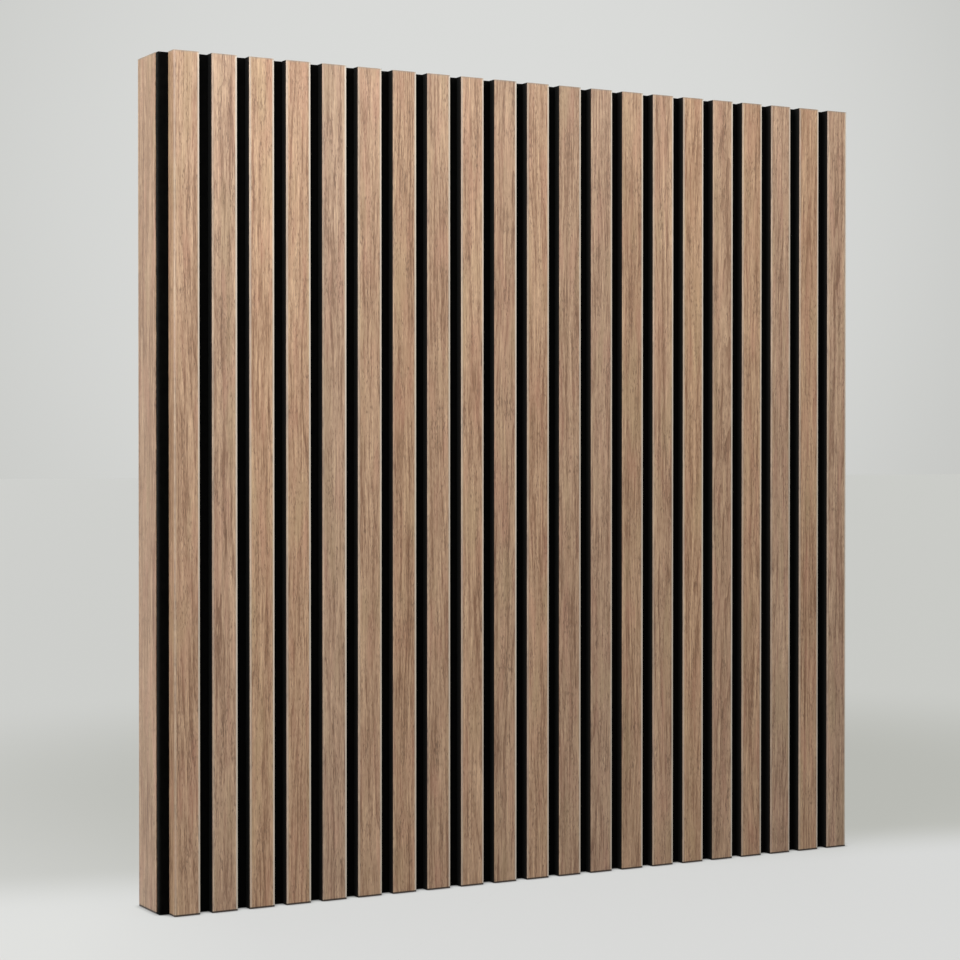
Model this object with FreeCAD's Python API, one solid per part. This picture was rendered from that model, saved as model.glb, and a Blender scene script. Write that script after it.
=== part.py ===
import FreeCAD, Part
import os

# Acoustic slat wall panel
# A square sound absorber for a wall. Upright slats of black fibreboard, each faced with
# walnut veneer, are glued to a sheet of black felt. Strips of the same felt lie between
# them, thinner than the slats, and keep them apart. The felt sheet covers the front of a
# shallow wooden box frame with mitred corners. A soft absorber slab fills the frame, and a
# thin board, screwed into a rebate, closes the back.
# Sizes are in millimetres. X runs along the width, the slats face -Y and Z is up.
# The origin is in the middle of the underside, halfway through the depth.

# Slats
slat_count = 21
slat_width = 19.0
slat_gap = 9.35
slat_core_thickness = 9.4
veneer_thickness = 0.6
edge_band_thickness = 0.6
eased_edge_radius = 0.45

# Whole panel
panel_height = 600.0
side_margin = 7.0

# Felt sheet behind the slats, and the felt strips between them
felt_thickness = 7.0
felt_strip_thickness = 3.5

# Box frame
frame_depth = 33.0
frame_board_thickness = 15.0
rebate_width = 8.0

# Back board and absorber slab
back_board_thickness = 3.0
back_board_inset = 1.0
back_board_clearance = 0.25
absorber_clearance = 0.3

# Countersunk screws in the back board
screws_per_side = 3
screw_end_distance = 60.0
screw_length = 12.0
screw_diameter = 2.5
screw_head_diameter = 4.8
screw_clearance = 0.05

# Sizes that follow from the ones above
slat_pitch = slat_width + slat_gap
slat_thickness = slat_core_thickness + veneer_thickness
panel_width = 2 * side_margin + slat_count * slat_width + (slat_count - 1) * slat_gap
panel_depth = slat_thickness + felt_thickness + frame_depth
rebate_depth = back_board_thickness + back_board_inset
screw_head_height = (screw_head_diameter - screw_diameter) / 2

# Planes through the depth, from the slats to the wall
front_y = -panel_depth / 2
veneer_back_y = front_y + veneer_thickness
slat_back_y = front_y + slat_thickness
strip_front_y = slat_back_y - felt_strip_thickness
felt_back_y = slat_back_y + felt_thickness
back_y = felt_back_y + frame_depth
rebate_y = back_y - rebate_depth
back_board_y = back_y - back_board_inset

UP = FreeCAD.Vector(0, 0, 1)
BACKWARDS = FreeCAD.Vector(0, 1, 0)
FORWARDS = FreeCAD.Vector(0, -1, 0)


def block(low, high):
    """Straight block between two opposite corners, each given as x, y, z."""
    size = [end - start for start, end in zip(low, high)]
    return Part.makeBox(*size, FreeCAD.Vector(*low))


def slat_left(index):
    """Left side of a slat. The first slat has index 0."""
    return -panel_width / 2 + side_margin + index * slat_pitch


def slat_core(index):
    """Black fibreboard core. The two outer cores make room for the band on their outer side."""
    left = slat_left(index)
    right = left + slat_width
    if index == 0:
        left += edge_band_thickness
    if index == slat_count - 1:
        right -= edge_band_thickness
    return block((left, veneer_back_y, 0), (right, slat_back_y, panel_height))


def slat_veneer(index):
    """Walnut facing of one slat: a flat strip whose two long front edges are eased."""
    left = slat_left(index)
    right = left + slat_width
    easing = min(eased_edge_radius, veneer_thickness)
    # How far the middle of an eased edge lies in from the side and from the face
    turn = easing * (1 - 0.5 ** 0.5)
    shoulder_y = front_y + easing
    back_left = FreeCAD.Vector(left, veneer_back_y, 0)
    side_left = FreeCAD.Vector(left, shoulder_y, 0)
    corner_left = FreeCAD.Vector(left + turn, front_y + turn, 0)
    face_left = FreeCAD.Vector(left + easing, front_y, 0)
    face_right = FreeCAD.Vector(right - easing, front_y, 0)
    corner_right = FreeCAD.Vector(right - turn, front_y + turn, 0)
    side_right = FreeCAD.Vector(right, shoulder_y, 0)
    back_right = FreeCAD.Vector(right, veneer_back_y, 0)
    outline = [
        Part.LineSegment(back_left, side_left),
        Part.Arc(side_left, corner_left, face_left),
        Part.LineSegment(face_left, face_right),
        Part.Arc(face_right, corner_right, side_right),
        Part.LineSegment(side_right, back_right),
        Part.LineSegment(back_right, back_left),
    ]
    section = Part.Face(Part.Wire([curve.toShape() for curve in outline]))
    return section.extrude(UP * panel_height)


def edge_band(outer_x, inner_x):
    """Walnut strip on the outer side of an end slat, behind the overlap of the slat's facing."""
    low = (min(outer_x, inner_x), veneer_back_y, 0)
    high = (max(outer_x, inner_x), slat_back_y, panel_height)
    return block(low, high)


def felt_sheet():
    """Black felt, flush with the outside of the frame on all four sides."""
    low = (-panel_width / 2, slat_back_y, 0)
    high = (panel_width / 2, felt_back_y, panel_height)
    return block(low, high)


def felt_strip(index):
    """Felt strip on the sheet that fills the rear part of the gap on the right of a slat."""
    low = (slat_left(index) + slat_width, strip_front_y, 0)
    high = (slat_left(index + 1), slat_back_y, panel_height)
    return block(low, high)


def felt_strips():
    """One strip for every gap, as one group of separate solids."""
    return Part.makeCompound([felt_strip(index) for index in range(slat_count - 1)])


def frame_board(length):
    """Frame board that lies along X with its outer face down on z = 0.

    Seen from the front it is a trapezium, because both ends are mitred at 45 degrees. A rebate
    for the back board is cut along its inner rear edge.
    """
    half = length / 2
    half_inside = half - frame_board_thickness
    corners = [
        FreeCAD.Vector(-half, felt_back_y, 0),
        FreeCAD.Vector(half, felt_back_y, 0),
        FreeCAD.Vector(half_inside, felt_back_y, frame_board_thickness),
        FreeCAD.Vector(-half_inside, felt_back_y, frame_board_thickness),
    ]
    front_face = Part.Face(Part.makePolygon(corners + corners[:1]))
    board = front_face.extrude(BACKWARDS * frame_depth)
    rebate_low = (-half, rebate_y, frame_board_thickness - rebate_width)
    rebate_high = (half, back_y, frame_board_thickness)
    return board.cut(block(rebate_low, rebate_high))


def standing_on_side(board, quarter_turns, x, z):
    """Board turned about Y by quarter turns, with its outer face then moved to x, z."""
    turned = board.copy()
    turned.rotate(FreeCAD.Vector(0, 0, 0), BACKWARDS, quarter_turns * 90)
    turned.translate(FreeCAD.Vector(x, 0, z))
    return turned


def frame_boards():
    """Bottom, left, top and right boards of the box, which meet at the mitres."""
    upright = frame_board(panel_height)
    level = frame_board(panel_width)
    half_width = panel_width / 2
    half_height = panel_height / 2
    return {
        "frame_bottom": standing_on_side(level, 0, 0, 0),
        "frame_left": standing_on_side(upright, 1, -half_width, half_height),
        "frame_top": standing_on_side(level, 2, 0, panel_height),
        "frame_right": standing_on_side(upright, 3, half_width, half_height),
    }


def absorber_slab():
    """Soft slab that fills the frame between the felt and the back board."""
    inset = frame_board_thickness + absorber_clearance
    low = (-panel_width / 2 + inset, felt_back_y + absorber_clearance, inset)
    high = (panel_width / 2 - inset, rebate_y - absorber_clearance, panel_height - inset)
    return block(low, high)


def spread(low, high, count):
    """Evenly spaced values from low to high. A single one lies in the middle."""
    if count == 1:
        return [(low + high) / 2]
    return [low + (high - low) * step / (count - 1) for step in range(count)]


def screw_places():
    """Middle of each screw head, on the outside of the back board and over the rebate."""
    from_outside = frame_board_thickness - rebate_width / 2
    reach = panel_width / 2 - screw_end_distance
    places = []
    for x in spread(-reach, reach, screws_per_side):
        places.append(FreeCAD.Vector(x, back_board_y, from_outside))
        places.append(FreeCAD.Vector(x, back_board_y, panel_height - from_outside))
    for z in spread(screw_end_distance, panel_height - screw_end_distance, screws_per_side):
        places.append(FreeCAD.Vector(-panel_width / 2 + from_outside, back_board_y, z))
        places.append(FreeCAD.Vector(panel_width / 2 - from_outside, back_board_y, z))
    return places


def screw_form(place, growth):
    """Countersunk head and plain shank, driven forwards. Growth is added round the sides and end."""
    shank_radius = screw_diameter / 2 + growth
    head_radius = screw_head_diameter / 2 + growth
    head = Part.makeCone(head_radius, shank_radius, screw_head_height, place, FORWARDS)
    shank = Part.makeCylinder(shank_radius, screw_length + growth, place, FORWARDS)
    return head.fuse(shank).removeSplitter()


def screws():
    """All back board screws as one group of separate solids."""
    return Part.makeCompound([screw_form(place, 0) for place in screw_places()])


def screw_holes():
    """Clear room for every screw, cut from whatever the screws pass through."""
    return [screw_form(place, screw_clearance) for place in screw_places()]


def back_board():
    """Thin board in the rebate, a little below the frame's rear edges."""
    inset = frame_board_thickness - rebate_width + back_board_clearance
    low = (-panel_width / 2 + inset, rebate_y, inset)
    high = (panel_width / 2 - inset, back_board_y, panel_height - inset)
    return block(low, high)


# Slats, their facings and the two outer bands
parts = {}
for index in range(slat_count):
    number = f"{index + 1:02d}"
    parts["slat_" + number] = slat_core(index)
    parts["slat_veneer_" + number] = slat_veneer(index)

left_side = slat_left(0)
right_side = slat_left(slat_count - 1) + slat_width
parts["edge_band_left"] = edge_band(left_side, left_side + edge_band_thickness)
parts["edge_band_right"] = edge_band(right_side, right_side - edge_band_thickness)

# Felt and the slab behind it
parts["felt_sheet"] = felt_sheet()
parts["felt_strips"] = felt_strips()
parts["absorber_slab"] = absorber_slab()

# Frame and back board, bored for the screws
holes = screw_holes()
for name, board in frame_boards().items():
    parts[name] = board.cut(holes)
parts["back_board"] = back_board().cut(holes)
parts["back_board_screws"] = screws()

os.makedirs("parts", exist_ok=True)
for name, shape in parts.items():
    shape.exportStep("parts/" + name + ".step")

print(f"{len(parts)} pieces, {panel_width:.1f} wide, {panel_depth:.1f} deep, {panel_height:.1f} high")
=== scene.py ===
# %% [markdown]
# # Acoustic slat wall panel
# This lesson dresses a finished model in Blender. The panel is a square of upright slats
# with walnut faces, glued to black felt, on the front of a shallow wooden box. Its pieces
# are in place and at their real size, so the work here is finish, light and camera.
# Everything is in metres: X runs along the width, the slats face -Y and Z is up.

# %% Load the model
import math
from functools import partial

import bpy
import numpy as np
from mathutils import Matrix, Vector


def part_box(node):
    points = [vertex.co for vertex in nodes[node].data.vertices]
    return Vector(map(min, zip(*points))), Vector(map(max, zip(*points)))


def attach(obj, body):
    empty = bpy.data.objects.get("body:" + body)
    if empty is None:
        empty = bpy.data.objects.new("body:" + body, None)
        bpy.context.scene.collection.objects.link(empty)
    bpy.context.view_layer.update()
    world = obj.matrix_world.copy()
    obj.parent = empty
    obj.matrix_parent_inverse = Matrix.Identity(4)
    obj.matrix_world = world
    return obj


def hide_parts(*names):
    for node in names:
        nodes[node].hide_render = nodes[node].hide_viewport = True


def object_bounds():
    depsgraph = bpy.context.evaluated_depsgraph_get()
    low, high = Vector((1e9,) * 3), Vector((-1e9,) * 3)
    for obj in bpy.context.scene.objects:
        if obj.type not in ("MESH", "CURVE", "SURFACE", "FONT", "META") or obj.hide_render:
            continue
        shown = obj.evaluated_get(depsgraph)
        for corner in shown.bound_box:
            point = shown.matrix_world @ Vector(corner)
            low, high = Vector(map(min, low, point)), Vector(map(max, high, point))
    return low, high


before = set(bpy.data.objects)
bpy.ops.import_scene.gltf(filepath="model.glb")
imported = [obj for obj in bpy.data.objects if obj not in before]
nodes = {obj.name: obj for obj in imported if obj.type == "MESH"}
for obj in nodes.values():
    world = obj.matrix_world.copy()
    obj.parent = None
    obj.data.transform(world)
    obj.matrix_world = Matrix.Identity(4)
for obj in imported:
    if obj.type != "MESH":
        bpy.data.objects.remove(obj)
cad_low, cad_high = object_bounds()
print(len(nodes), "pieces in a box of", [round(size, 4) for size in cad_high - cad_low], "m")

# %% [markdown]
# ## Measuring before making
# The grain has to stay on its own slat, and the felt has to rise between the slats, so
# their places are read from the pieces themselves. Reading them keeps one source of
# truth: if the panel is ever built with another slat width, the finish follows.

# %% Measure the slats
MM = 0.001
veneer_names = sorted(name for name in nodes if name.startswith("slat_veneer_"))
core_names = sorted(name for name in nodes if name.startswith("slat_") and name not in veneer_names)
band_names = sorted(name for name in nodes if name.startswith("edge_band_"))
veneer_boxes = [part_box(name) for name in veneer_names]
slat_lefts = np.array([low.x for low, high in veneer_boxes])
slat_width = veneer_boxes[0][1].x - slat_lefts[0]
slat_pitch = slat_lefts[1] - slat_lefts[0]
panel_height = cad_high.z - cad_low.z
veneer_thickness = veneer_boxes[0][1].y - veneer_boxes[0][0].y
print(len(core_names), "slats,", round(slat_width / MM, 2), "mm wide")
print("one slat every", round(slat_pitch / MM, 2), "mm")

# %% [markdown]
# ## One function for colour and one for nodes
# A colour picked from a swatch is an sRGB value, but a shader works in linear light, so
# one function turns the usual hex code into linear numbers. A material is a tree of
# nodes, and a tree written out in full is long. One small function adds a node: plain
# values fill its inputs in order, a name in capitals fills the input of that name, and a
# name in small letters is a setting. Another node can stand for a value and is linked.

# %% Colour from a hex code
def linear(code):
    """Linear red, green, blue and alpha of an sRGB hex code.

    A channel above 0.04045 becomes ((channel + 0.055) / 1.055) to the power 2.4, and one below
    it becomes channel / 12.92.
    """
    channels = np.array([int(code[start:start + 2], 16) / 255 for start in (1, 3, 5)])
    bright = ((channels + 0.055) / 1.055) ** 2.4
    return (*np.where(channels > 0.04045, bright, channels / 12.92).tolist(), 1.0)


print("middle grey #808080 is", round(linear("#808080")[0], 3), "in linear light")


# %% Add a node
def add(tree, kind, *values, **named):
    """Adds a shader node to a tree, with its inputs filled or linked and its settings made."""
    node = tree.nodes.new("ShaderNode" + kind)
    for name, value in named.items():
        if name.islower():
            setattr(node, name, value)
    open_inputs = [socket for socket in node.inputs if socket.enabled]
    by_name = {socket.name.replace(" ", "_"): socket for socket in open_inputs}
    fills = list(zip(open_inputs, values))
    fills += [(by_name[name], value) for name, value in named.items() if not name.islower()]
    for socket, value in fills:
        if isinstance(value, bpy.types.Node):
            value = next(output for output in value.outputs if output.enabled)
        if isinstance(value, bpy.types.NodeSocket):
            tree.links.new(value, socket)
        else:
            socket.default_value = value
    return node


# %% Start a material and hand it out
def new_material(name):
    """An empty material, and the function that puts a node into it."""
    material = bpy.data.materials.new(name)
    material.use_nodes = True
    material.node_tree.nodes.clear()
    return material, partial(add, material.node_tree)


def dress(names, material):
    """Gives the model's own pieces their finish. Their shapes stay as they are."""
    for name in names:
        nodes[name].data.materials.clear()
        nodes[name].data.materials.append(material)
    print(material.name, "on", len(names), "pieces")


# %% Place of a point on the object
def place_in_mm(put):
    """Adds the nodes that give each point's place on the object, in millimetres."""
    return put("VectorMath", put("TexCoord").outputs["Object"], (1 / MM,) * 3, operation="MULTIPLY")


# %% [markdown]
# ## Walnut
# The slat faces and the box are real walnut with a matt oil. A picture of wood could be
# laid over them, but it would repeat, and it would stop at its own sharpness. Here the
# grain is worked out the way a log makes it. Growth rings are cones round the pith, and
# a knife or saw cuts through them, so the distance from the pith at each point of the
# face decides its shade. Beside the pith that gives nearly straight lines, and across
# the tip of a cone it gives pointed arches. Each slat comes from another place in the
# log, so a random number for each slat moves its pith.
#
# Fibres, pores and slow changes of tone are noise, stretched along the grain. Each layer
# is given as the real size of its marks, across and along the grain, in millimetres, and
# its detail. Real pores are 0.2 mm wide. They are drawn wider, because finer ones would
# not show. All other sizes of the grain are in millimetres too.

# %% Sizes of the grain
GRAIN_LAYERS = {
    "bend": (24.0, 170.0, 1.0),
    "ripple": (6.0, 60.0, 1.0),
    "fibre": (1.0, 24.0, 3.0),
    "streak": (3.4, 130.0, 2.0),
    "hair": (0.45, 5.0, 1.0),
    "pore": (0.5, 3.6, 1.0),
    "pore_group": (5.0, 30.0, 1.0),
    "tone": (10.0, 80.0, 1.0),
    "blush": (7.0, 55.0, 1.0),
}
LOG_STEP = 300.0  # from the place of one slat in the log to another
RING_SPACING = 2.2
RING_BEND = 9.0
RING_RIPPLE = 0.6  # as a share of the ring spacing
PITH_SPREAD = 70.0  # the pith lies within this width round the middle of the face
CUT_DEPTH = 10.0  # the least depth of the pith below the face
CUT_DEPTH_SPREAD = 50.0
LOG_TAPER = 0.08  # change of depth for each millimetre along the log
EDGE_LINE = (1.7, 0.8)  # where the pale line, part sanding and part painted highlight, starts and is full, in from the edge
PALE_RIGHT = (0.7, 1.0)  # least and greatest strength of that line
PALE_LEFT = (0.0, 0.4)
PAINTED_SHOULDER_SHADE = (0.08, 0.3)  # where the painted shade on the eased edge starts and is full, behind the face
VENEER_FADE = 0.05
END_MARK = 1.4
END_FADE = 0.3
TONE_SPREAD = 0.06
WARMTH_SPREAD = 0.05

# %% [markdown]
# The colours are those of the bare wood under plain light. Walnut this pale has a warm
# ground, thin darker late wood at the end of each ring, and patches that lean to pink or
# to olive. The long edges have a pale line, partly sanding and partly painted highlight,
# which varies from slat to slat and is painted stronger on the right edge, away from the
# lamps. Painted shade darkens the eased shoulder beside it. The sawn ends are greyer at the
# top, and a dark line of painted contact shade lies along the foot, where the slat meets
# the floor.

# %% Colours of the walnut
walnut_pale = linear("#c4a68a")
walnut_deep = linear("#7c5d48")
walnut_pore = linear("#5a4132")
walnut_pink = linear("#b18873")
walnut_olive = linear("#a38d6e")
walnut_sanded_and_lit = linear("#cac2b4")
walnut_end = linear("#8a8174")
walnut_foot_shade = linear("#2b2019")


# %% Build a walnut material
def walnut(name, along, corner, richness, number=None):
    """Oiled walnut, with the grain along an axis, on a face that starts at the corner's x or z.

    Richness is how much stronger than the plain colours the wood is. Without a number the
    material is for the slats, and each slat gets its own place in the log.
    """
    material, put = new_material(name)

    # Place in millimetres: across the face and round its edge, and along the grain
    place = place_in_mm(put)
    x, y, z = put("SeparateXYZ", place).outputs
    length, width = (x, z) if along == "x" else (z, x)
    side = put("Math", width, corner / MM, operation="SUBTRACT")
    on_slats = number is None
    if on_slats:
        half_gap = (slat_pitch - slat_width) / 2 / MM
        number = put("Math", side, half_gap, operation="ADD")
        number = put("Math", number, slat_pitch / MM, operation="DIVIDE")
        number = put("Math", number, operation="FLOOR")
        slat_start = put("Math", number, slat_pitch / MM, operation="MULTIPLY")
        side = put("Math", side, slat_start, operation="SUBTRACT")
    luck = put("TexWhiteNoise", number, noise_dimensions="1D")
    luck_pith, luck_taper, luck_depth = put("SeparateColor", luck.outputs["Color"]).outputs
    elsewhere = put("Math", luck, LOG_STEP, operation="MULTIPLY")
    across = put("Math", side, y, operation="ADD")
    grain = put("CombineXYZ", across, length, elsewhere)

    # Layers of stretched noise
    layer = {}
    for mark, (wide, long, detail) in GRAIN_LAYERS.items():
        stretched = put("VectorMath", grain, (1 / wide, 1 / long, 1.0), operation="MULTIPLY")
        layer[mark] = put("TexNoise", stretched, Scale=1.0, Detail=detail)

    # Growth rings: distance from a pith beside and below the face, with bends and ripples
    pith = put("MapRange", luck_pith, 0.0, 1.0, -PITH_SPREAD / 2, PITH_SPREAD / 2, clamp=False)
    beside = put("Math", across, pith, operation="SUBTRACT")
    bend = put("MapRange", layer["bend"], 0.0, 1.0, -RING_BEND, RING_BEND, clamp=False)
    beside = put("Math", beside, bend, operation="ADD")
    taper = put("MapRange", luck_taper, 0.0, 1.0, -LOG_TAPER / 2, LOG_TAPER / 2, clamp=False)
    depth = put("Math", luck_depth, CUT_DEPTH_SPREAD, CUT_DEPTH, operation="MULTIPLY_ADD")
    depth = put("Math", taper, length, depth, operation="MULTIPLY_ADD")
    depth_squared = put("Math", depth, depth, operation="MULTIPLY")
    distance = put("Math", beside, beside, depth_squared, operation="MULTIPLY_ADD")
    distance = put("Math", distance, operation="SQRT")
    ripple = put("MapRange", layer["ripple"], 0.0, 1.0, -RING_RIPPLE, RING_RIPPLE, clamp=False)
    ring = put("Math", distance, 1 / RING_SPACING, ripple, operation="MULTIPLY_ADD")
    ring_part = put("Math", ring, operation="FRACT")
    late_wood = put("Math", ring_part, 3.0, operation="POWER")

    # Shade of the ground: fibres, streaks and late wood, added up
    fibre = put("MapRange", layer["fibre"], 0.3, 0.7, 0.0, 0.62)
    streak = put("MapRange", layer["streak"], 0.33, 0.67, -0.05, 0.4)
    hair = put("MapRange", layer["hair"], 0.3, 0.7, -0.21, 0.21)
    shade = put("Math", fibre, streak, operation="ADD")
    shade = put("Math", shade, hair, operation="ADD")
    ring_strength = put("MapRange", layer["tone"], 0.35, 0.65, 0.12, 0.5)
    shade = put("Math", late_wood, ring_strength, shade, operation="MULTIPLY_ADD")
    colour = put("Mix", shade, walnut_pale, walnut_deep, data_type="RGBA")

    # Patches that lean to pink or to olive
    pink = put("MapRange", layer["blush"], 0.5, 0.72, 0.0, 0.4)
    colour = put("Mix", pink, colour, walnut_pink, data_type="RGBA")
    olive = put("MapRange", layer["tone"], 0.45, 0.3, 0.0, 0.35)
    colour = put("Mix", olive, colour, walnut_olive, data_type="RGBA")

    # Pores: short dark dashes that come in groups and favour the late wood
    pore = put("Math", layer["pore_group"], 0.5, layer["pore"], operation="MULTIPLY_ADD")
    pore = put("Math", late_wood, 0.06, pore, operation="MULTIPLY_ADD")
    pore = put("MapRange", pore, 0.86, 1.0, 0.0, 0.6)
    colour = put("Mix", pore, colour, walnut_pore, data_type="RGBA")

    # Tone of this slat or board
    value = put("MapRange", luck_depth, 0.0, 1.0, 1 - TONE_SPREAD, 1 + TONE_SPREAD)
    least, most = richness - WARMTH_SPREAD, richness + WARMTH_SPREAD
    warmth = put("MapRange", luck_pith, 0.0, 1.0, least, most)
    colour = put("HueSaturation", Color=colour, Value=value, Saturation=warmth)

    # Long edges of the slats: a pale line on the face, part sanding and part painted highlight
    # that is stronger on the right edge, away from the lamps, and painted shade on the shoulder beside
    # it
    if on_slats:
        half_face = slat_width / 2 / MM
        from_middle = put("Math", side, half_face, operation="SUBTRACT")
        behind_face = put("Math", y, cad_low.y / MM, operation="SUBTRACT")
        veneer_back = veneer_thickness / MM
        on_veneer = put("MapRange", behind_face, veneer_back + VENEER_FADE, veneer_back)
        start, full = (half_face - inwards for inwards in EDGE_LINE)
        edges = ((1.0, PALE_RIGHT, luck_taper), (-1.0, PALE_LEFT, luck_depth))
        for to_edge, pale, luck_edge in edges:
            sanding_and_highlight = put("MapRange", luck_edge, 0.0, 1.0, *pale)
            sanding_and_highlight = put("Math", sanding_and_highlight, on_veneer, operation="MULTIPLY")
            sanded_and_lit = put("MapRange", from_middle, start * to_edge, full * to_edge, 0.0, sanding_and_highlight)
            colour = put("Mix", sanded_and_lit, colour, walnut_sanded_and_lit, data_type="RGBA")
        # Painted shade: the eased shoulders of the long edges are darkened with the deep walnut colour
        shoulder = put("MapRange", behind_face, *PAINTED_SHOULDER_SHADE, 0.0, 0.55)
        shoulder = put("Math", shoulder, on_veneer, operation="MULTIPLY")
        colour = put("Mix", shoulder, colour, walnut_deep, data_type="RGBA")

    # Sawn ends: a grey line along the top, and at the foot a dark line of painted contact shade
    top = panel_height / MM
    high_end = put("MapRange", z, top - END_MARK, top, 0.0, 0.7)
    colour = put("Mix", high_end, colour, walnut_end, data_type="RGBA")
    painted_foot_shade = put("MapRange", z, END_MARK, END_MARK - END_FADE, 0.0, 0.95)
    colour = put("Mix", painted_foot_shade, colour, walnut_foot_shade, data_type="RGBA")

    # Matt oil: it is a little rougher where fibres are dark, and pores lie lower
    roughness = put("MapRange", layer["fibre"], 0.3, 0.7, 0.38, 0.48)
    height = put("Math", pore, -0.6, layer["fibre"], operation="MULTIPLY_ADD")
    relief = put("Bump", Strength=0.35, Distance=0.15 * MM, Height=height)
    surface = put("BsdfPrincipled", Base_Color=colour, Roughness=roughness, IOR=1.48, Normal=relief)
    put("OutputMaterial", surface)
    print(name, "has", len(material.node_tree.nodes), "nodes")
    return material


# %% Lay the walnut on slats, bands and box
RICHNESS = 1.05
FIRST_BOARD = 41.0
slat_walnut = walnut("oiled_walnut_veneer", "z", slat_lefts[0], RICHNESS)
dress(veneer_names + band_names, slat_walnut)
for number, (name, along, corner) in enumerate((
    ("frame_left", "z", cad_low.x),
    ("frame_right", "z", cad_high.x),
    ("frame_top", "x", cad_high.z),
    ("frame_bottom", "x", cad_low.z),
)):
    board_walnut = walnut("oiled_walnut_" + name, along, corner, RICHNESS, FIRST_BOARD + number)
    dress([name], board_walnut)

# %% [markdown]
# ## Black fibreboard
# The cores of the slats are fibreboard that is dyed black all through, so a sawn side is
# as black as a face. Up close it is a felted mass of short fibres with fine ridges from
# the saw. Two layers of noise give that: even flecks, and ridges that run up the slat.
# The first few millimetres behind the face are painted a little greyer: painted light where
# the gaps open, fading to plain black deeper in, where the shade falls.

# %% Fibreboard material
PAINTED_LIGHT_FULL, PAINTED_LIGHT_END = 1.5, 4.5
fibreboard, put = new_material("black_dyed_fibreboard")
place = place_in_mm(put)
flecks = put("TexNoise", place, Scale=2.2, Detail=3.0)
ridge_place = put("VectorMath", place, (2.6, 2.6, 0.05), operation="MULTIPLY")
ridges = put("TexNoise", ridge_place, Scale=1.0, Detail=2.0)
fleck_shade = put("MapRange", flecks, 0.3, 0.7, 0.0, 1.0)
black = put("Mix", fleck_shade, linear("#070707"), linear("#0e0e0d"), data_type="RGBA")
painted_lit_black = put("Mix", fleck_shade, linear("#161513"), linear("#262320"), data_type="RGBA")
y = put("SeparateXYZ", place).outputs["Y"]
face_y = cad_low.y / MM
# Painted light: greyer near the face, fading to the plain black deeper in the gap
painted_light = put("MapRange", y, face_y + PAINTED_LIGHT_END, face_y + PAINTED_LIGHT_FULL)
colour = put("Mix", painted_light, black, painted_lit_black, data_type="RGBA")
height = put("Math", ridges, 0.7, flecks, operation="MULTIPLY_ADD")
relief = put("Bump", Strength=0.5, Distance=0.1 * MM, Height=height)
roughness = put("MapRange", ridges, 0.3, 0.7, 0.8, 0.92)
put("OutputMaterial", put(
    "BsdfPrincipled", Base_Color=colour, Roughness=roughness, IOR=1.5,
    Specular_IOR_Level=0.15, Normal=relief,
))
dress(core_names, fibreboard)


# %% [markdown]
# ## Soft sheets
# The felt and the absorber behind it are soft, so they need more shape than a flat box:
# rounded cut edges and a gentle relief. One function makes both. It lays a grid over the
# front and another over the back, and joins them round the edge by a few rows that follow
# a rounded profile, so the form is closed. The relief is a sum of slow waves with seeded
# directions, which is as uneven as fleece is and the same on every run.

# %% Waves for a soft relief
def waves(x, z, shortest, longest, seed, count=24):
    """Sum of sine waves over a plane, about -1 to 1.

    Wave n is sin(2 pi (x cos a + z sin a) / length + phase), where a, length and phase are drawn
    from a seeded generator. The sum is divided by the square root of the number of waves.
    """
    random = np.random.default_rng(seed)
    direction = random.uniform(0, math.pi, count)
    length = random.uniform(shortest, longest, count)
    phase = random.uniform(0, 2 * math.pi, count)
    turns = (np.multiply.outer(x, np.cos(direction)) + np.multiply.outer(z, np.sin(direction))) / length
    return np.sin(2 * math.pi * turns + phase).sum(-1) / math.sqrt(count)


def soft_relief(height, x, z, shortest, longest, seed):
    """Depth that wanders between 0 and twice the height: height * (1 + waves)."""
    return height * (1 + np.clip(waves(x, z, shortest, longest, seed), -1, 1))


# %% Add a piece
def new_piece(name, points, faces, material):
    """A mesh object at the origin, with one material."""
    mesh = bpy.data.meshes.new(name)
    mesh.from_pydata(points, [], faces)
    mesh.shade_smooth()
    mesh.materials.append(material)
    piece = bpy.data.objects.new(name, mesh)
    bpy.context.scene.collection.objects.link(piece)
    print(name, "has", len(faces), "faces")
    return piece


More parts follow.
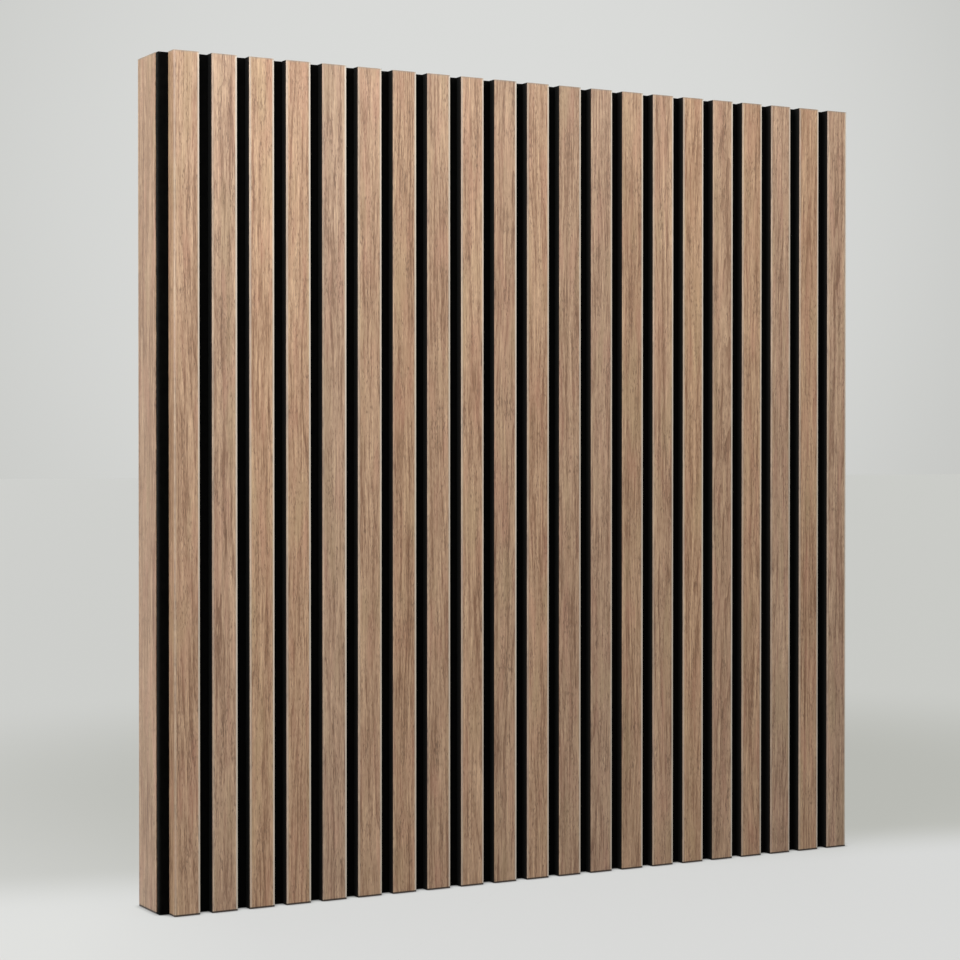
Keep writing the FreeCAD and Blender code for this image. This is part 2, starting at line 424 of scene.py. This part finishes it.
# %% Closed soft sheet
def soft_sheet(
    name, x_lines, z_lines, front_y, back_y, radius, front_relief, back_relief, edge_relief, material,
):
    """Closed sheet over a grid of x and z lines, with rounded edges.

    Front points are (x, front_y + front_relief, z) and back points (x, back_y - back_relief, z).
    Row k of the edge stands radius * sin(t) further out and radius * (1 - cos(t)) deeper, with t
    from 0 to a right angle, and the rows near the back mirror that. Reliefs are grids of depths.
    """
    columns, rows = len(x_lines), len(z_lines)
    x, z = np.meshgrid(x_lines, z_lines)
    front = np.stack([x, front_y + front_relief, z], -1).reshape(-1, 3)
    back = np.stack([x, back_y - back_relief, z], -1).reshape(-1, 3)

    # Outline of the grid, once round, with the direction that leads out of it
    index = np.arange(columns * rows).reshape(rows, columns)
    ring = np.concatenate([index[0, :-1], index[:-1, -1], index[-1, :0:-1], index[:0:-1, 0]])
    ring_x, ring_z = front[ring, 0], front[ring, 2]
    out_x = (ring_x == x_lines[-1]) * 1.0 - (ring_x == x_lines[0])
    out_z = (ring_z == z_lines[-1]) * 1.0 - (ring_z == z_lines[0])
    out = radius - edge_relief(ring_x, ring_z)

    # Edge rows between the two faces
    turn = np.linspace(0, math.pi / 2, 5)[1:]
    share = np.concatenate([np.sin(turn), np.sin(turn[::-1])])[:, None]
    fall = 1 - np.cos(turn)
    front_edge = front[ring, 1][None, :] + radius * fall[:, None]
    back_edge = back[ring, 1][None, :] - radius * fall[::-1, None]
    edge_y = np.concatenate([front_edge, back_edge])
    edge = np.stack([ring_x + share * out * out_x, edge_y, ring_z + share * out * out_z], -1)

    # Four-sided faces of front, back and edge, all pointing outwards
    a, b = index[:-1, :-1].ravel(), index[:-1, 1:].ravel()
    c, d = index[1:, 1:].ravel(), index[1:, :-1].ravel()
    shift = columns * rows
    edge_rows = 2 * shift + np.arange(edge.shape[0] * len(ring)).reshape(edge.shape[0], -1)
    loop = np.vstack([ring, edge_rows, ring + shift])
    after = np.roll(loop, -1, axis=1)
    sides = np.stack([loop[:-1], loop[1:], after[1:], after[:-1]], -1).reshape(-1, 4)
    faces = np.concatenate([np.stack([a, b, c, d], -1), np.stack([d, c, b, a], -1) + shift, sides])
    return new_piece(name, np.concatenate([front, back, edge.reshape(-1, 3)]), faces, material)


# %% [markdown]
# ## Black felt
# The felt is needled polyester, 7 mm thick, cut flush with the box. Strips of it lie
# between the slats, so the gaps are shallower than the slats are thick. It is the dark
# ground of the panel, and its cut edge shows at the side as a grey-black band. That band is
# black over its first 2 mm behind the front, and greyer from 3.5 mm on, next to the
# box. Felt is matt, because its fibres point everywhere and swallow light.

# %% Felt material
felt_low, felt_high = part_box("felt_sheet")
BLACK_EDGE, GREY_EDGE = 2.0, 3.5
CUT_FADE = (0.6, 0.2)
felt, put = new_material("black_needled_felt")
place = place_in_mm(put)
fibres = put("TexNoise", place, Scale=1.6, Detail=4.0, Roughness=0.65, Distortion=1.2)
clumps = put("TexNoise", place, Scale=0.22, Detail=2.0)
mix = put("Math", clumps, 0.6, fibres, operation="MULTIPLY_ADD")
mix = put("MapRange", mix, 0.6, 1.0, 0.0, 1.0)
face_colour = put("Mix", mix, linear("#020202"), linear("#070706"), data_type="RGBA")
cut_colour = put("Mix", mix, linear("#121211"), linear("#272725"), data_type="RGBA")
x, y, _ = put("SeparateXYZ", place).outputs
from_centre = put("Math", x, operation="ABSOLUTE")
start, full = (cad_high.x / MM - inwards for inwards in CUT_FADE)
at_side = put("MapRange", from_centre, start, full)
felt_front = felt_low.y / MM
near_box = put("MapRange", y, felt_front + BLACK_EDGE, felt_front + GREY_EDGE, 0.2, 1.0)
at_side = put("Math", at_side, near_box, operation="MULTIPLY")
colour = put("Mix", at_side, face_colour, cut_colour, data_type="RGBA")
relief = put("Bump", Strength=0.7, Distance=0.3 * MM, Height=fibres)
put("OutputMaterial", put(
    "BsdfPrincipled", Base_Color=colour, Roughness=0.95, Specular_IOR_Level=0.03, Normal=relief,
))

# %% Lines across the felt
strip_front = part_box("felt_strips")[0].y
FELT_ROUNDING = 1.2 * MM
STRIP_ROUNDING = 0.8 * MM
from_side = np.array([0.0, 0.02, 0.12, 0.4, 1.2]) * MM
strip_offsets = np.concatenate([from_side, slat_pitch - slat_width - from_side[::-1]])
strip_lines = np.add.outer(slat_lefts[:-1] + slat_width, strip_offsets).ravel()
slat_middles = slat_lefts + slat_width / 2
left_margin = np.linspace(felt_low.x + FELT_ROUNDING, slat_lefts[0], 5)
right_margin = np.linspace(slat_lefts[-1] + slat_width, felt_high.x - FELT_ROUNDING, 5)
x_lines = np.sort(np.concatenate([left_margin, strip_lines, slat_middles, right_margin]))
z_lines = np.linspace(felt_low.z + FELT_ROUNDING, felt_high.z - FELT_ROUNDING, 121)
print(len(x_lines), "lines across and", len(z_lines), "up")
print("strips", round((felt_low.y - strip_front) / MM, 2), "mm thick")

# %% [markdown]
# Sheet and strips are pressed into one soft form, so one piece stands for both. Its front
# is a field of depths. Behind a slat it lies against the wood. A strip stands forward, and
# its shoulders follow a quarter circle: at a distance d from the slat they lie
# r - sqrt(r^2 - (r - d)^2) deeper. Slow waves keep strips and margins from looking milled.

# %% Felt sheet
FELT_UNEVEN = 0.12 * MM


def felt_edge(x, z):
    """How far the cut edge lies in from the felt's outline."""
    return soft_relief(FELT_UNEVEN, x, z, 9 * MM, 40 * MM, seed=5)


grid_x, grid_z = np.meshgrid(x_lines, z_lines)
from_slat = abs(np.subtract.outer(x_lines, slat_middles)).min(1) - slat_width / 2
beside_slat = from_slat > 0.01 * MM
on_strip = beside_slat & (x_lines > slat_lefts[0]) & (x_lines < slat_lefts[-1] + slat_width)
from_corner = STRIP_ROUNDING - np.clip(from_slat, 0, STRIP_ROUNDING)
shoulder = STRIP_ROUNDING - np.sqrt(STRIP_ROUNDING ** 2 - from_corner ** 2)
uneven = soft_relief(FELT_UNEVEN, grid_x, grid_z, 15 * MM, 60 * MM, seed=3)
ground = felt_low.y - strip_front + np.where(beside_slat, uneven, 0.0)
felt_relief = np.where(on_strip, shoulder + uneven, ground)
felt_piece = soft_sheet(
    "felt_cloth", x_lines, z_lines, strip_front, felt_high.y, FELT_ROUNDING,
    felt_relief, np.zeros_like(grid_x), felt_edge, felt,
)
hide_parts("felt_sheet", "felt_strips")
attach(felt_piece, "root")

# %% [markdown]
# ## Absorber
# The slab that swallows the sound is bonded grey fleece. The box hides it, but it is part
# of the panel, so it gets its own soft form: the same closed sheet, with rounder edges
# and a deeper relief than the felt. It stays inside the plain solid that it stands for.

# %% Absorber material
fleece, put = new_material("grey_bonded_fleece")
place = place_in_mm(put)
fibres = put("TexNoise", place, Scale=0.9, Detail=5.0, Roughness=0.6, Distortion=1.5)
fibre_shade = put("MapRange", fibres, 0.3, 0.7, 0.0, 1.0)
colour = put("Mix", fibre_shade, linear("#767875"), linear("#a5a6a2"), data_type="RGBA")
relief = put("Bump", Strength=0.8, Distance=0.6 * MM, Height=fibres)
put("OutputMaterial", put("BsdfPrincipled", Base_Color=colour, Roughness=0.95, Normal=relief))


# %% Absorber slab
SLAB_ROUNDING = 4 * MM
SLAB_UNEVEN = 0.5 * MM
SLAB_EDGE_UNEVEN = 0.4 * MM


def slab_edge(x, z):
    """How far the slab's edge lies in from its outline."""
    return soft_relief(SLAB_EDGE_UNEVEN, x, z, 30 * MM, 120 * MM, seed=9)


slab_low, slab_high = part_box("absorber_slab")
slab_x = np.linspace(slab_low.x + SLAB_ROUNDING, slab_high.x - SLAB_ROUNDING, 91)
slab_z = np.linspace(slab_low.z + SLAB_ROUNDING, slab_high.z - SLAB_ROUNDING, 91)
grid_x, grid_z = np.meshgrid(slab_x, slab_z)
slab_front = soft_relief(SLAB_UNEVEN, grid_x, grid_z, 40 * MM, 160 * MM, seed=7)
slab_back = soft_relief(SLAB_UNEVEN, grid_x, grid_z, 40 * MM, 160 * MM, seed=8)
slab_piece = soft_sheet(
    "absorber_fleece", slab_x, slab_z, slab_low.y, slab_high.y, SLAB_ROUNDING,
    slab_front, slab_back, slab_edge, fleece,
)
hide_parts("absorber_slab")
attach(slab_piece, "root")

# %% [markdown]
# ## Back board
# The back is closed by 3 mm hardboard: brown wood fibres pressed hard, with a smooth,
# slightly shiny face. Its colour is flecked with darker and paler fibres about 1 mm long
# that lie in every direction, and it is cloudy over a hand's width.

# %% Hardboard material
hardboard, put = new_material("brown_hardboard")
place = place_in_mm(put)
flecks = put("TexNoise", place, Scale=0.9, Detail=4.0, Roughness=0.7, Distortion=0.8)
clouds = put("TexNoise", place, Scale=0.014, Detail=2.0)
fleck_shade = put("MapRange", flecks, 0.32, 0.68, 0.0, 0.75)
cloud_shade = put("MapRange", clouds, 0.35, 0.65, 0.0, 0.25)
shade = put("Math", fleck_shade, cloud_shade, operation="ADD")
colour = put("Mix", shade, linear("#93704c"), linear("#6d4d31"), data_type="RGBA")
dark_fleck = put("MapRange", flecks, 0.66, 0.74, 0.0, 0.5)
colour = put("Mix", dark_fleck, colour, linear("#3f2a1a"), data_type="RGBA")
relief = put("Bump", Strength=0.25, Distance=0.08 * MM, Height=flecks)
roughness = put("MapRange", flecks, 0.3, 0.7, 0.42, 0.55)
surface = put("BsdfPrincipled", Base_Color=colour, Roughness=roughness, IOR=1.52, Normal=relief)
put("OutputMaterial", surface)
dress(["back_board"], hardboard)

# %% [markdown]
# ## Screws
# Twelve countersunk screws hold the back board. The model keeps them plain, so here they
# get the cross recess that a screwdriver needs. A screw is turned: a profile of radius
# and depth, carried round the axis. The recess is pressed into the flat top, as a depth
# that is greatest where a point lies within either of two crossing slots.

# %% Zinc-plated steel
zinc, put = new_material("zinc_plated_steel")
place = place_in_mm(put)
bloom = put("TexNoise", place, Scale=1.4, Detail=3.0)
bloom_shade = put("MapRange", bloom, 0.3, 0.7, 0.0, 1.0)
colour = put("Mix", bloom_shade, linear("#b9bcc0"), linear("#d2d3d2"), data_type="RGBA")
roughness = put("MapRange", bloom, 0.3, 0.7, 0.26, 0.42)
put("OutputMaterial", put("BsdfPrincipled", Base_Color=colour, Roughness=roughness, Metallic=1.0))

# %% Find the screws
SAME_PLANE = 0.01 * MM
CELL = 10 * MM  # each screw head lies within one cell of this width
corners = np.array([vertex.co for vertex in nodes["back_board_screws"].data.vertices])
head_plane = corners[:, 1].max()
rim = corners[corners[:, 1] > head_plane - SAME_PLANE][:, [0, 2]]
cells = np.round(rim / CELL).astype(int)
groups, member = np.unique(cells, axis=0, return_inverse=True)
rims = [rim[member.ravel() == group] for group in range(len(groups))]
screw_places = np.array([(points.min(0) + points.max(0)) / 2 for points in rims])
print(len(screw_places), "screw heads in the plane y =", round(head_plane / MM, 2), "mm")


# %% Turn the screws
SCREW_LENGTH = 12 * MM
RECESS_DEPTH = 1.3 * MM
SLOT_HALF_WIDTH = 0.36 * MM
SLOT_REACH = 1.4 * MM
SLOT_RAMP, END_RAMP = 0.1 * MM, 0.35 * MM


def screw_points(angles=64):
    """Rings of points of one screw, with its head's middle at the origin, pointing along -Y.

    Row k of the profile has radius r and depth d, and its points are (r cos a, -d, r sin a). On
    the flat top, d is the recess: its full depth times how far a point lies within the slots,
    min(|x|, |z|) < half width and max(|x|, |z|) < reach, each faded over a short ramp. The side
    is given as radius and depth: rim, countersink, shank and point.
    """
    top = np.linspace(0.12, 2.25, 17) * MM
    side = np.array([
        (2.36, 0.04), (2.40, 0.14), (2.33, 0.26), (1.30, 1.24), (1.25, 1.4), (1.25, 6.0), (1.25, 9.4),
        (1.05, 10.4), (0.6, 11.4), (0.25, 11.9),
    ]) * MM
    angle = np.linspace(0, 2 * math.pi, angles, endpoint=False)
    radius = np.concatenate([top, side[:, 0]])[:, None]
    x, z = radius * np.cos(angle), radius * np.sin(angle)
    depth = np.concatenate([np.zeros(len(top)), side[:, 1]])[:, None] + np.zeros_like(x)
    near, far = np.minimum(abs(x), abs(z)), np.maximum(abs(x), abs(z))
    within = np.clip((SLOT_HALF_WIDTH - near) / SLOT_RAMP, 0, 1)
    within = within * np.clip((SLOT_REACH - far) / END_RAMP, 0, 1)
    depth[:len(top)] += RECESS_DEPTH * within[:len(top)]
    return np.stack([x, -depth, z], -1)


rings = screw_points()
ring_count, angles = rings.shape[:2]
tips = np.array([(0.0, -RECESS_DEPTH, 0.0), (0.0, -SCREW_LENGTH, 0.0)])
one_screw = np.concatenate([rings.reshape(-1, 3), tips])
index = np.arange(ring_count * angles).reshape(ring_count, angles)
after = np.roll(index, -1, axis=1)
bands = np.stack([index[:-1], after[:-1], after[1:], index[1:]], -1).reshape(-1, 4)
head_fan = np.stack([np.full(angles, len(one_screw) - 2), after[0], index[0]], -1)
tip_fan = np.stack([np.full(angles, len(one_screw) - 1), index[-1], after[-1]], -1)
centres = np.insert(screw_places, 1, head_plane, axis=1)
points = (one_screw[None] + centres[:, None]).reshape(-1, 3)
steps = np.arange(len(centres))[:, None, None] * len(one_screw)
faces = []
for part in (bands, head_fan, tip_fan):
    faces += (part[None] + steps).reshape(-1, part.shape[1]).tolist()
screws = new_piece("countersunk_screws", points, faces, zinc)
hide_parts("back_board_screws")
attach(screws, "root")
print(len(centres), "screws of", len(one_screw), "points each")

# %% [markdown]
# ## Floor
# The panel stands on pale seamless paper. What the camera sees on it is the paper's tone
# with painted light and shade, plus a share of real light. The paper in front is painted
# the palest, most of all at the left corner, where the lamps fall. Behind the panel it is
# painted a shade darker, most of all in a wide painted shadow to the right of it, and close
# round the foot of the panel a painted contact shade follows the ambient occlusion. A few
# metres off, the paper has that darker tone all round. Light that the panel receives from
# the floor comes from a plain pale surface. The painted tones keep the picture pale without
# more light on the object, and they change along slanting lines, as light and shade do under
# a lamp on the left.

# %% Rays that see
def seeing_rays(put):
    """Adds nodes that give 1 on rays of the camera, mirrors and glass, and 0 on rays of light."""
    path = put("LightPath").outputs
    seeing = put("Math", path["Is Camera Ray"], path["Is Glossy Ray"], operation="MAXIMUM")
    return put("Math", seeing, path["Is Transmission Ray"], operation="MAXIMUM")


# %% Floor tones
# Each fade is given as where it starts and where it is full, in metres.
SIDEWAYS_SLANT, BACKWARDS_SLANT = -0.4, 0.2
RIGHT_FADE = (-0.4, 0.5)
CORNER_FADE = (-0.22, -0.36)
BACK_FADE = (-0.03, 0.13)
FAR_FADE = (1.2, 3.0)
PAINTED_SHADOW_PLACE, PAINTED_SHADOW_FADE = (0.35, 0.4, 0.0), (1.0, 0.25)
CONTACT_REACH = 6 * MM
paper, put = new_material("pale_paper_floor")
place = put("TexCoord").outputs["Object"]
x, y, _ = put("SeparateXYZ", place).outputs
# Painted light and shade on the paper: paler in front and at the lit left corner, darker behind the
# panel
sideways = put("Math", y, SIDEWAYS_SLANT, x, operation="MULTIPLY_ADD")
right_side = put("MapRange", sideways, *RIGHT_FADE)
left_corner = put("MapRange", sideways, *CORNER_FADE)
backwards = put("Math", x, BACKWARDS_SLANT, y, operation="MULTIPLY_ADD")
behind = put("MapRange", backwards, *BACK_FADE, interpolation_type="SMOOTHSTEP")
from_panel = put("VectorMath", place, operation="LENGTH").outputs["Value"]
far_off = put("MapRange", from_panel, *FAR_FADE, interpolation_type="SMOOTHSTEP")
behind = put("Math", behind, far_off, operation="MAXIMUM")
# Painted shadow of the panel, widest to its right
from_painted_shadow = put("VectorMath", place, PAINTED_SHADOW_PLACE, operation="DISTANCE").outputs["Value"]
shade = put("MapRange", from_painted_shadow, *PAINTED_SHADOW_FADE, interpolation_type="SMOOTHSTEP")
front_tone = put("Mix", left_corner, linear("#cbcccb"), linear("#d0d1cf"), data_type="RGBA")
rear_tone = put("Mix", right_side, linear("#c3c4c1"), linear("#bfc0bc"), data_type="RGBA")
rear_tone = put("Mix", shade, rear_tone, linear("#adaea8"), data_type="RGBA")
tone = put("Mix", behind, front_tone, rear_tone, data_type="RGBA")
# Painted contact shade where the panel stands close to the paper
open_sky = put("AmbientOcclusion", Distance=CONTACT_REACH).outputs["AO"]
painted_contact_shade = put("MapRange", open_sky, 0.15, 0.95, 0.1, 1.0)
seen = put(
    "BsdfPrincipled", Base_Color=linear("#3f3f3e"), Roughness=0.9,
    Emission_Color=tone, Emission_Strength=painted_contact_shade,
)
lit = put("BsdfDiffuse", linear("#c3c3c1"))
put("OutputMaterial", put("MixShader", seeing_rays(put), lit, seen))

# %% Floor
REACH = 30.0
corners = [(-REACH, -REACH, 0.0), (REACH, -REACH, 0.0), (REACH, REACH, 0.0), (-REACH, REACH, 0.0)]
floor = new_piece("paper_floor", corners, [(0, 1, 2, 3)], paper)

# %% [markdown]
# ## Light
# A studio for small products has weak light from all round and a few soft boxes. The
# world gives the first. It is weak in front, so that the lamps can shape the panel, and
# stronger behind, so that the back isn't lost in shadow. The camera and reflections see
# a pale backdrop instead, with a faint painted glow behind the panel and painted shade that
# darkens it to the right.
#
# Four white soft boxes stand round the front. The near one, high on the left, makes the
# upper left corner the brightest. The long one evens out the right half, and the one at
# the side lights the left board of the box. The last stands far in front, where the oiled
# faces mirror it into the camera, and lays a pale sheen on the upper left slats.

# %% World
PAINTED_GLOW_SPOT = (0.488, 0.866, 0.11)  # direction of the faint painted glow behind the panel
SPOT_EDGE = 0.966
RIGHT_TONE = (0.33, 0.65)
LIGHT_FROM_RIGHT, LIGHT_FROM_LEFT, LIGHT_FROM_BEHIND = 0.08, 0.18, 0.9
world = bpy.data.worlds.new("soft_studio")
bpy.context.scene.world = world
world.use_nodes = True
world.node_tree.nodes.clear()
put = partial(add, world.node_tree)
direction = put("TexCoord").outputs["Generated"]
x, y, _ = put("SeparateXYZ", direction).outputs
# Painted shade: the backdrop is darker to the right
to_right = put("MapRange", x, *RIGHT_TONE)
closeness = put("VectorMath", direction, PAINTED_GLOW_SPOT, operation="DOT_PRODUCT").outputs["Value"]
painted_glow = put("MapRange", closeness, SPOT_EDGE, 1.0, interpolation_type="SMOOTHSTEP")
far_tone = put("Mix", to_right, linear("#cbccc9"), linear("#c6c7c4"), data_type="RGBA")
backdrop = put("Mix", painted_glow, far_tone, linear("#dadbd9"), data_type="RGBA")
side_light = put("MapRange", x, 1.0, -1.0, LIGHT_FROM_RIGHT, LIGHT_FROM_LEFT)
back_light = put("MapRange", y, 0.0, 1.0, 0.0, LIGHT_FROM_BEHIND)
strength = put("Math", side_light, back_light, operation="ADD")
light = put("Background", linear("#ffffff"), strength)
view = put("Background", backdrop, 1.0)
put("OutputWorld", put("MixShader", seeing_rays(put), light, view))

# %% Lamps
LAMP_AIM = Vector((0.0, 0.0, 0.3))  # the middle of the panel
for name, place, width, height, watts in (
    ("soft_box", Vector((-0.55, -0.45, 0.95)), 0.3, 0.3, 5.6),
    ("long_soft_box", Vector((0.3, -0.5, 0.95)), 0.5, 0.3, 2.9),
    ("side_soft_box", Vector((-1.1, -0.16, 0.5)), 0.4, 0.4, 4.9),
    ("front_soft_box", Vector((0.083, -1.129, 0.846)), 0.5, 0.5, 2.6),
):
    lamp_data = bpy.data.lights.new(name, "AREA")
    lamp_data.shape = "RECTANGLE"
    lamp_data.size = width
    lamp_data.size_y = height
    lamp_data.energy = watts
    lamp = bpy.data.objects.new(name, lamp_data)
    lamp.location = place
    lamp.visible_camera = False
    lamp.rotation_euler = (LAMP_AIM - place).to_track_quat("-Z", "Y").to_euler()
    bpy.context.scene.collection.objects.link(lamp)
    print(name, round((LAMP_AIM - place).length, 2), "m from the middle of the panel")

# %% [markdown]
# ## Camera
# The camera's place was worked out from the picture of the real panel: the tilt of the
# upright edges gives its height, and the way the slats narrow gives its distance. It
# stands to the left, level with the middle, 30 degrees off the straight view.

# %% Camera
CAMERA_PLACE = Vector((-0.8809, -1.4975, 0.3191))
CAMERA_TURN = math.radians(-29.424)
CAMERA_DIP = math.radians(0.5936)
SENSOR_WIDTH, FOCAL_LENGTH = 36.0, 85.262  # in millimetres, as on a real camera
camera_data = bpy.data.cameras.new("camera")
camera_data.sensor_width = SENSOR_WIDTH
camera_data.lens = FOCAL_LENGTH
camera = bpy.data.objects.new("camera", camera_data)
camera.location = CAMERA_PLACE
camera.rotation_euler = (math.pi / 2 - CAMERA_DIP, 0.0, CAMERA_TURN)
bpy.context.scene.collection.objects.link(camera)
bpy.context.scene.camera = camera
bpy.context.scene.view_settings.view_transform = "Standard"
print("camera", round(CAMERA_PLACE.length, 2), "m from the panel's foot")
